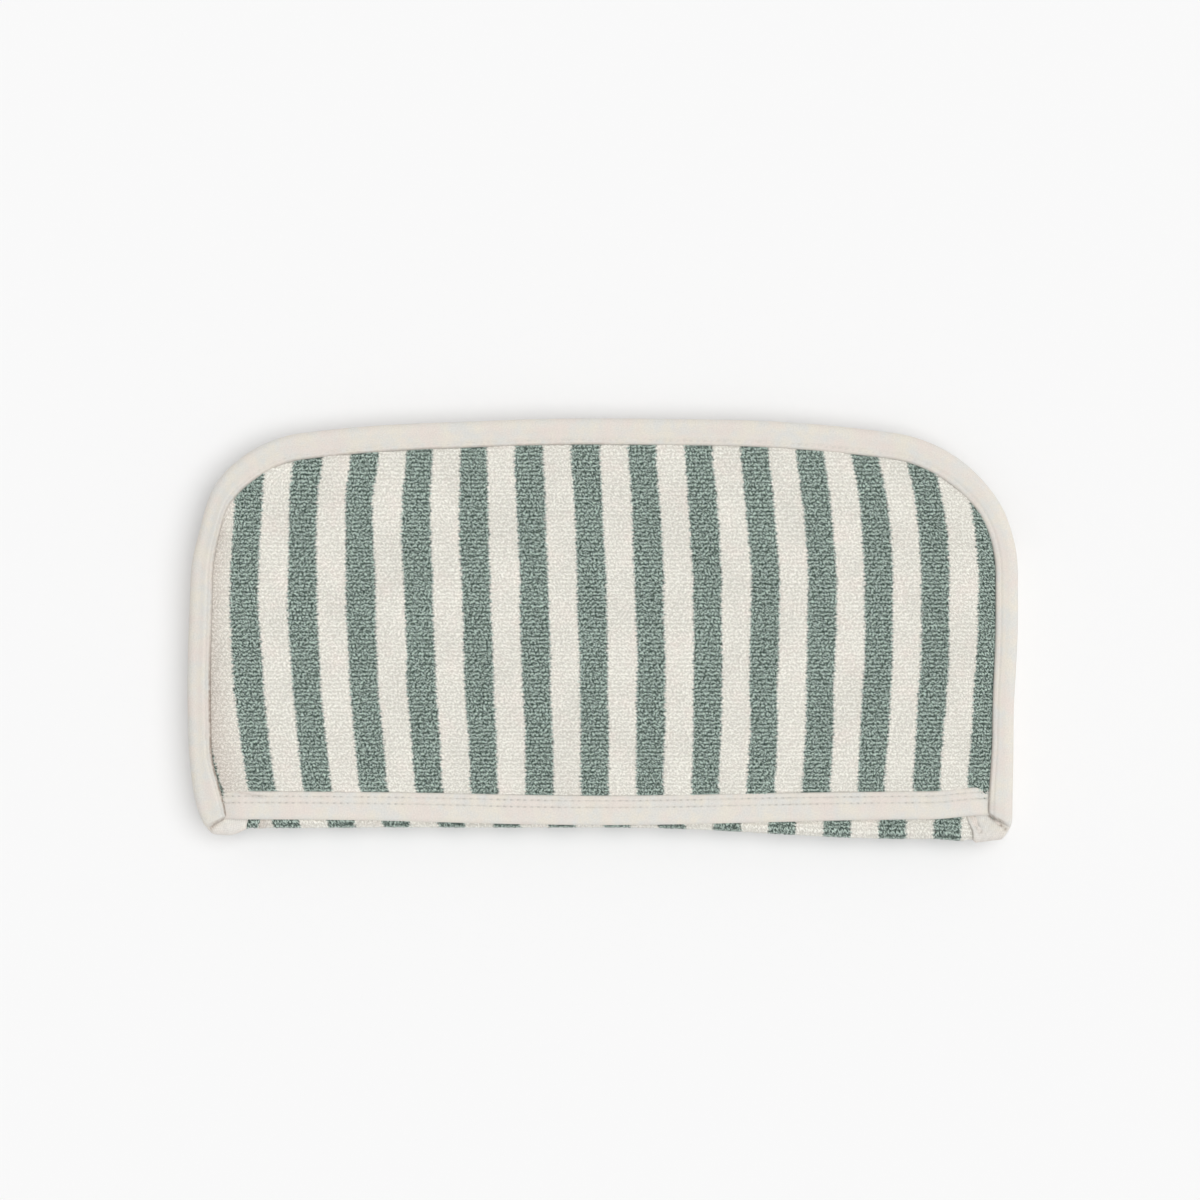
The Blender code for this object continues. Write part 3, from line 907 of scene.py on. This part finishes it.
def make_edge_tape(
    name, path, level, height, reach, place, material, rows,
    nose=TAPE_NOSE, crown=TAPE_CROWN, lean=0.0, dark=None,
):
    """Tape round an edge. place moves the laid-out points to where they lie. rows are its rows of stitches.

    lean moves its inner edge along y. dark says how dark the painted shade in its creases and under its inner
    edge is, by station and distance in.
    """
    s, inward = lengths_along(path), inward_along(path)
    each = (level, height, reach, lean)
    levels, heights, reaches, leans = (np.broadcast_to(values, len(path)) for values in each)
    sections, painted_shade = [], []
    for i, (x, y) in enumerate(path):
        d, h = tape_section(heights[i], reaches[i], min(nose, heights[i] * 0.7), crown).T
        for row in rows:
            h = h - np.sign(h) * needle_pull(d, s[i], reaches[i] - row)
        painted_shade.append(dark(i, d) if dark else np.zeros(len(d)))
        slid = leans[i] * np.clip(d / reaches[i], 0, 1)
        sections.append(np.column_stack([x + d * inward[i, 0], y + d * inward[i, 1] + slid, levels[i] + h]))
    sections = np.array(sections)
    seed = TAPE_PUFF_SEED + len(name)
    sections += upward(0.14 * MM * ripple(sections[..., 0], sections[..., 1], seed, *TAPE_PUFF))
    around = lengths_along(tape_section(heights[0], reaches[0], nose, crown))
    flat = np.stack(np.broadcast_arrays(s[:, None], around[None, :]), axis=-1)
    return tube_grid(name, place(sections), flat, material, np.array(painted_shade))


# One stitch's rings: how far along it each lies, how thick it is, and how far it rises, in thread radii.
STITCH_RINGS = ((-0.5, 0.25, -0.6), (-0.36, 0.8, 0.25), (0, 1.0, 0.75), (0.36, 0.8, 0.25), (0.5, 0.25, -0.6))


def make_stitches(name, line, place):
    """Separate stitches along a laid-out line of points."""
    s = lengths_along(line)
    up = np.array([0.0, 0.0, 1.0])
    around = np.linspace(0, 2 * math.pi, THREAD_SIDES + 1)[:-1]
    points, faces, flats = [], [], []

    def line_at(distance):
        return np.array([np.interp(distance, s, line[:, i]) for i in range(3)])

    for k in range(int(s[-1] / STITCH_LENGTH)):
        start = len(points)
        for along, thick, rise in STITCH_RINGS:
            at = (k + 0.5) * STITCH_LENGTH + along * STITCH_LENGTH * STITCH_COVER
            centre = line_at(at)
            ahead = line_at(at + 0.2 * MM) - centre
            if np.linalg.norm(ahead) < 1e-9:
                ahead = np.array([1.0, 0, 0])
            side = np.cross(up, ahead / np.linalg.norm(ahead))
            for a in around:
                out = thick * side * math.cos(a) + up * (thick * math.sin(a) + rise)
                points.append(centre + THREAD_RADIUS * out)
                flats.append((at, a * THREAD_RADIUS))
        rings = start + THREAD_SIDES * np.arange(len(STITCH_RINGS))
        for ring in rings[:-1]:
            for j in range(THREAD_SIDES):
                a, b = int(ring + j), int(ring + (j + 1) % THREAD_SIDES)
                faces.append([a, b, b + THREAD_SIDES, a + THREAD_SIDES])
        faces.append([start + j for j in range(THREAD_SIDES)][::-1])
        faces.append([int(rings[-1]) + j for j in range(THREAD_SIDES)])
    return finish_mesh(name, place(np.array(points)), faces, np.array(flats), THREAD)


def stitch_line(path, inset, height):
    """Where a row of stitches lies, set in from a path's edge."""
    inset, height = np.broadcast_to(inset, len(path)), np.broadcast_to(height, len(path))
    return np.column_stack([path + inward_along(path) * inset[:, None], height])


# ---------------- the front and the hood


def mouth_line(x):
    """The hood's mouth: it sags in its middle, and rises at its right end."""
    return MOUTH_Y - swell(x, *MOUTH_SAG) + ramp_up(x, *MOUTH_RISE)


def make_front_edge():
    """The binding of the hood and the towel together. It ends in a slant at both bottom corners."""
    low = FOLD_Y["first"] + 0.3 * MM
    path = end_outline(low, HOOD_TOP, PATH_STEP)
    x, y = path.T
    from_end = y - low
    blunt = 1 - np.sqrt(1 - (1 - np.clip(from_end / (3.5 * MM), 0, 1)) ** 2)
    height = EDGE_HEIGHT - 3.2 * MM * blunt
    level = EDGE_LEVEL - 1.6 * MM * blunt
    wider = np.where(x < 0, ramp_down(y, *LEFT_TAPE_WIDER), ramp_down(y, *RIGHT_TAPE_WIDER))
    reach = 11.6 * MM + ramp_up(y, *TOP_TAPE_WIDER) + wider * MM
    slant = np.where(x < 0, LEFT_SLANT, RIGHT_SLANT) * (1 - ramp_up(from_end, 1, 0, 16 * MM))
    # How dark the painted shadow under the tape's inner edge is: darker towards the bottom on both sides,
    # most on the left.
    left_shade = 0.35 + ramp_down(y, 0.6, 5 * MM, 40 * MM)
    right_shade = 0.12 + ramp_down(y, 0.3, -50 * MM, 30 * MM)
    seam = np.where(x < 0, left_shade, right_shade)

    def dark(i, d):
        """The painted shadow under the inner edge, and painted shade in the fold at each end."""
        inner = seam[i] * ramp_up(d - reach[i], 1, -1.5 * MM, 1.1 * MM)
        tip = ramp_down(from_end[i], 0.75, 1.7 * MM, 1.2 * MM) * ramp_up(d, 1, 2 * MM, 4 * MM)
        return np.maximum(inner, tip)

    rows = [EDGE_STITCH_INSET]
    shape = (FRONT_TAPE_NOSE, FRONT_TAPE_CROWN, slant, dark)
    tape = make_edge_tape("front_edge_tape", path, level, height, reach, settle, EDGE_TAPE, rows, *shape)
    line = stitch_line(path, reach - EDGE_STITCH_INSET, level + height / 2 - 0.12 * MM)
    return tape, make_stitches("front_edge_stitches", line[7:-7], settle)


def make_mouth():
    """The tape round the mouth and its two rows of stitches."""
    half = HALF_WIDTH - 9 * MM
    x = np.linspace(half, -half, int(2 * half / PATH_STEP) + 1)
    path = np.column_stack([x, mouth_line(x)])
    level = HOOD_LEVEL + 0.15 * MM
    reach = MOUTH_REACH - ramp_up(np.abs(x), 0.6 * MM, 60 * MM, 80 * MM)

    def place(points):
        """Both ends are sunk under the edge tape, and a tuck runs across the left end."""
        settled = settle(points)
        tuck = near_line(points, *MOUTH_TUCK, 0.9 * MM) * (points[..., 2] > level)
        sunk = ramp_up(np.abs(points[..., 0]), 1.3 * MM, 184 * MM, 9 * MM)
        return settled - upward(0.6 * MM * tuck + sunk)

    # Painted shade along the tuck at the left end.
    def dark(i, d):
        spot = np.stack([np.full_like(d, x[i]), path[i, 1] + d], axis=-1)
        return 0.3 * near_line(spot, *MOUTH_TUCK, 0.5 * MM)

    surface = (place, MOUTH_TAPE, MOUTH_ROWS)
    tape = make_edge_tape("hood_mouth_tape", path, level, MOUTH_HEIGHT, reach, *surface, dark=dark)
    rows = []
    for name, inset in zip(("inner", "outer"), MOUTH_ROWS):
        line = stitch_line(path, reach - inset, level + MOUTH_HEIGHT / 2 - 0.2 * MM)
        rows.append(make_stitches(f"hood_mouth_stitches_{name}", line, settle))
    return tape, rows


def make_hidden_edge(word, ending, path):
    """A binding behind the front, with its stitches. Its z is counted from its layer's middle."""

    def place(points):
        x, y, z = np.moveaxis(points, -1, 0)
        return laid(word, panel_points(word, x, y)) + upward(z)

    layout = (0.0, SINGLE_EDGE_HEIGHT, TAPE_REACH, place, EDGE_TAPE, [EDGE_STITCH_INSET])
    tape = make_edge_tape(f"{word}_edge_tape{ending}", path, *layout)
    line = stitch_line(path, TAPE_REACH - EDGE_STITCH_INSET, SINGLE_EDGE_HEIGHT / 2 - 0.22 * MM)
    if ending == "_right":
        line = line[::-1]  # Both sides are sewn from the bottom up.
    return tape, make_stitches(f"{word}_edge_stitches{ending}", line, place)


def side_path(word, side):
    """A side of a panel between two folds, run so that the cloth is on its right."""
    low, high = FOLD_Y["first" if word == "second" else "third"], FOLD_Y["second"]
    y = np.linspace(low, high, int((high - low) / HIDDEN_PATH_STEP) + 1)
    if side == "left":
        return np.column_stack([np.full_like(y, -HALF_WIDTH), y])
    return np.column_stack([np.full_like(y, HALF_WIDTH), y])[::-1]


def make_turn_tape(fold, upper, lower, side):
    """The binding where the towel's edge goes round a fold. At the first fold it spreads wide."""
    sign = -1 if side == "left" else 1
    first = fold == "first"
    before, angle = turn_stations(FIRST_STRIP if first else 0.0, 1 * MM, 0.45 * MM)
    spread = (WIDE_LEFT if side == "left" else WIDE_RIGHT) - TAPE_REACH
    opened = ramp_down(before, 1, 14 * MM, 3.5 * MM) * (1 - ramp_up(angle, 1, 0.9, 1.6))
    shown = (5.5 if side == "left" else 9.2) * MM
    slope = 0.4 * (np.clip(shown - before, 0, None) + TURN_RADIUS * np.clip(angle, 0, 1.5))
    reach = TAPE_REACH + (spread * opened - slope * opened if first else 0 * opened)
    tuck = ramp_up(before, 0.9 * MM, 2 * MM, 4 * MM)
    sections, painted_shade = [], []
    for i in range(len(angle)):
        d, h = tape_section(SINGLE_EDGE_HEIGHT, reach[i], FOLD_TAPE_NOSE).T
        u = (sign * (HALF_WIDTH - tuck[i] - d))[None]
        points, normal = turn_frames(fold, upper, lower, u, np.full_like(u, angle[i]), before[i])
        rise, crease = creases(side, points[0], d) if first else (0 * d, 0 * d)
        outer = (h > 0) * (1 - ramp_up(angle[i], 1, 0.8, 0.8))
        raised = h * (1 - 0.3 * tuck[i] / MM) + rise * outer
        sections.append(points[0] + normal[0] * raised[:, None])
        painted_shade.append(crease * outer)
    around = lengths_along(tape_section(SINGLE_EDGE_HEIGHT, TAPE_REACH, FOLD_TAPE_NOSE))
    sections, painted_shade = np.array(sections), np.array(painted_shade)
    if (sign > 0) == (fold == "second"):
        sections, painted_shade, around = sections[:, ::-1], painted_shade[:, ::-1], around[::-1]
    along = np.concatenate([before[before > 0], -angle[before == 0] * TURN_RADIUS])
    flat = np.stack(np.broadcast_arrays(along[:, None], around[None]), axis=-1)
    made = tube_grid(f"{fold}_fold_tape_{side}", sections, flat, TAPE, painted_shade)
    return made, np.repeat(angle / math.pi, len(around))


def creases(side, points, d):
    """The crumples of the wide binding at the bottom corners: how far it rises, and how dark painted shade
    makes it in its cracks and valley, and faintly all over at the right.
    """
    if side == "left":
        crack = near_line(points, *LEFT_CREASE, 1.0 * MM)
        fold = near_line(points, *LEFT_SOFT_FOLD, 1.6 * MM)
        return 0.3 * MM * fold - 0.8 * MM * crack, 0.85 * crack
    crack = near_line(points, *RIGHT_CREASE, 0.6 * MM)
    valley = near_line(points, *RIGHT_VALLEY, 1.1 * MM)
    ridge = near_line(points, *RIGHT_RIDGE, 1.0 * MM)
    crumple = 0.22 * MM * np.sin(2 * np.pi * (d + 0.5 * points[..., 1]) / (4.6 * MM))
    rise = 0.6 * MM * ridge - 0.8 * MM * crack - 0.8 * MM * valley + crumple
    return rise, np.clip(0.8 * crack + 0.6 * valley + 0.07, 0, 1)


# ---------------- putting it together


def lift_with_hood(obj):
    """Bakes the piece's placing into its mesh. The hood is sewn down at its sides and top, but nothing here
    lifts its middle.
    """
    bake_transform(obj)
    co = np.zeros(len(obj.data.vertices) * 3, np.float32)
    obj.data.vertices.foreach_get("co", co)
    x, y, _ = co.reshape(-1, 3).T.astype(float)
    from_sides = np.clip(1 - (np.abs(x) / (HALF_WIDTH - 12 * MM)) ** 2, 0, 1)
    smooth(from_sides) * ramp_down(y, 1, HOOD_TOP - 12 * MM, 60 * MM)


def bend_at(obj, weights, fold, upper, lower):
    """Bakes the piece's placing into its mesh; weights are not used."""
    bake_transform(obj)


def dress(obj, slot, *nodes):
    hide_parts(*nodes)


def dress_panel(word, edges, terry, low, high):
    """A panel's terry and its tapes and threads ride on one body. edges are (ending, tape, threads)."""
    extras = []
    for ending, tape, threads in edges:
        dress(tape, "binding_tape", f"edge_binding_{word}{ending}")
        dress(threads, "sewing_thread", f"edge_stitch_{word}{ending}")
        extras += [tape, threads]
    dress(terry, "striped_terry", f"towel_panel_{word}")
    for piece in (terry, *extras):
        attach(piece, word)
    declare(terry, high - low, extras)


def build_front():
    low = FOLD_Y["first"] + FIRST_STRIP
    terry = make_panel("front", "front_terry", low, HOOD_TOP, HOOD_TOP)
    dress_panel("front", [("", *make_front_edge())], terry, low, HOOD_TOP)


def build_hood():
    terry = make_hood_terry()
    tape, rows = make_mouth()
    for piece in (terry, tape, *rows):
        lift_with_hood(piece)
    dress(terry, "striped_terry", "hood_panel", "hood_margin")
    dress(tape, "binding_tape", "hood_mouth_binding")
    for row, word in zip(rows, ("inner", "outer")):
        dress(row, "sewing_thread", f"hood_mouth_stitch_{word}")
    declare(terry, HOOD_TOP - HOOD_LOW, [tape, *rows])


def build_between(word, low):
    terry = make_panel(word, f"{word}_terry", low, FOLD_Y["second"])
    edges = []
    for side in ("left", "right"):
        edges.append((f"_{side}", *make_hidden_edge(word, f"_{side}", side_path(word, side))))
    dress_panel(word, edges, terry, low, FOLD_Y["second"])


def build_end():
    low = FOLD_Y["third"]
    terry = make_panel("end", "end_terry", low, END_TOP, END_TOP)
    edge = make_hidden_edge("end", "", end_outline(low, END_TOP, HIDDEN_PATH_STEP))
    dress_panel("end", [("", *edge)], terry, low, END_TOP)


def declare(terry, length, extras):
    """Works out the terry piece's flat area, and keeps nothing of it."""
    flat_area(terry)


def flat_area(terry):
    """A terry piece's flat area, from its UV map. Its upper and lower faces each cover it once."""
    mesh = terry.data
    uv = np.zeros(len(mesh.loops) * 2, np.float32)
    mesh.uv_layers["flat"].data.foreach_get("uv", uv)
    uv = uv.reshape(-1, 2).astype(float)
    starts = np.zeros(len(mesh.polygons), np.int32)
    sizes = np.zeros(len(mesh.polygons), np.int32)
    mesh.polygons.foreach_get("loop_start", starts)
    mesh.polygons.foreach_get("loop_total", sizes)
    a, b, c, d = (uv[starts[sizes == 4] + k] for k in range(4))
    doubled = (a[:, 0] - c[:, 0]) * (b[:, 1] - d[:, 1]) - (b[:, 0] - d[:, 0]) * (a[:, 1] - c[:, 1])
    return float(np.abs(doubled).sum() / 2 / 2)


def build_folds():
    turns = (("first", "front", "second"), ("second", "second", "third"), ("third", "third", "end"))
    for fold, upper, lower in turns:
        first = fold == "first"
        step = FINE_STEP if first else 1.0 * MM
        strip = FIRST_STRIP if first else 0.0
        terry, weights = make_turn(fold, upper, lower, f"{fold}_fold_terry", step, first, strip)
        bend_at(terry, weights, fold, upper, lower)
        dress(terry, "striped_terry", f"fold_{fold}_terry")
        for side in ("left", "right"):
            tape, weights = make_turn_tape(fold, upper, lower, side)
            bend_at(tape, weights, fold, upper, lower)
            dress(tape, "binding_tape", f"fold_{fold}_binding_{side}")


def build_stage():
    """A pale floor, an even sky, a wide soft sun from the right, and the camera straight above."""
    scene = bpy.context.scene
    mesh = bpy.data.meshes.new("floor")
    corners = [(x * FLOOR_HALF, y * FLOOR_HALF, 0) for x, y in ((-1, -1), (1, -1), (1, 1), (-1, 1))]
    mesh.from_pydata(corners, [], [(0, 1, 2, 3)])
    floor = bpy.data.objects.new("floor", mesh)
    scene.collection.objects.link(floor)
    material = bpy.data.materials.new("floor")
    material.use_nodes = True
    shader = material.node_tree.nodes["Principled BSDF"]
    shader.inputs["Base Color"].default_value = FLOOR_COLOUR
    shader.inputs["Roughness"].default_value = 0.9
    mesh.materials.append(material)
    scene.world = bpy.data.worlds.new("soft_light")
    scene.world.use_nodes = True
    sky = scene.world.node_tree.nodes["Background"]
    sky.inputs["Color"].default_value = (1, 1, 1, 1)
    sky.inputs["Strength"].default_value = SKY_STRENGTH
    sun_data = bpy.data.lights.new("key", "SUN")
    sun_data.angle = SUN_SPREAD
    sun_data.energy = SUN_POWER
    sun = bpy.data.objects.new("key", sun_data)
    sun.rotation_euler = Vector(SUN_TOWARDS).to_track_quat("Z", "Y").to_euler()
    scene.collection.objects.link(sun)
    camera_data = bpy.data.cameras.new("camera")
    camera_data.lens = camera_data.sensor_width * CAMERA_DISTANCE / VIEW_WIDTH
    camera = bpy.data.objects.new("camera", camera_data)
    camera.location = (*CAMERA_CENTRE, HOOD_LEVEL + CAMERA_DISTANCE)
    scene.collection.objects.link(camera)
    scene.camera = camera
    scene.view_settings.view_transform = "Standard"


build_stage()
build_front()
build_hood()
build_between("second", FOLD_Y["first"])
build_between("third", FOLD_Y["third"])
build_end()
build_folds()

bpy.context.view_layer.update()
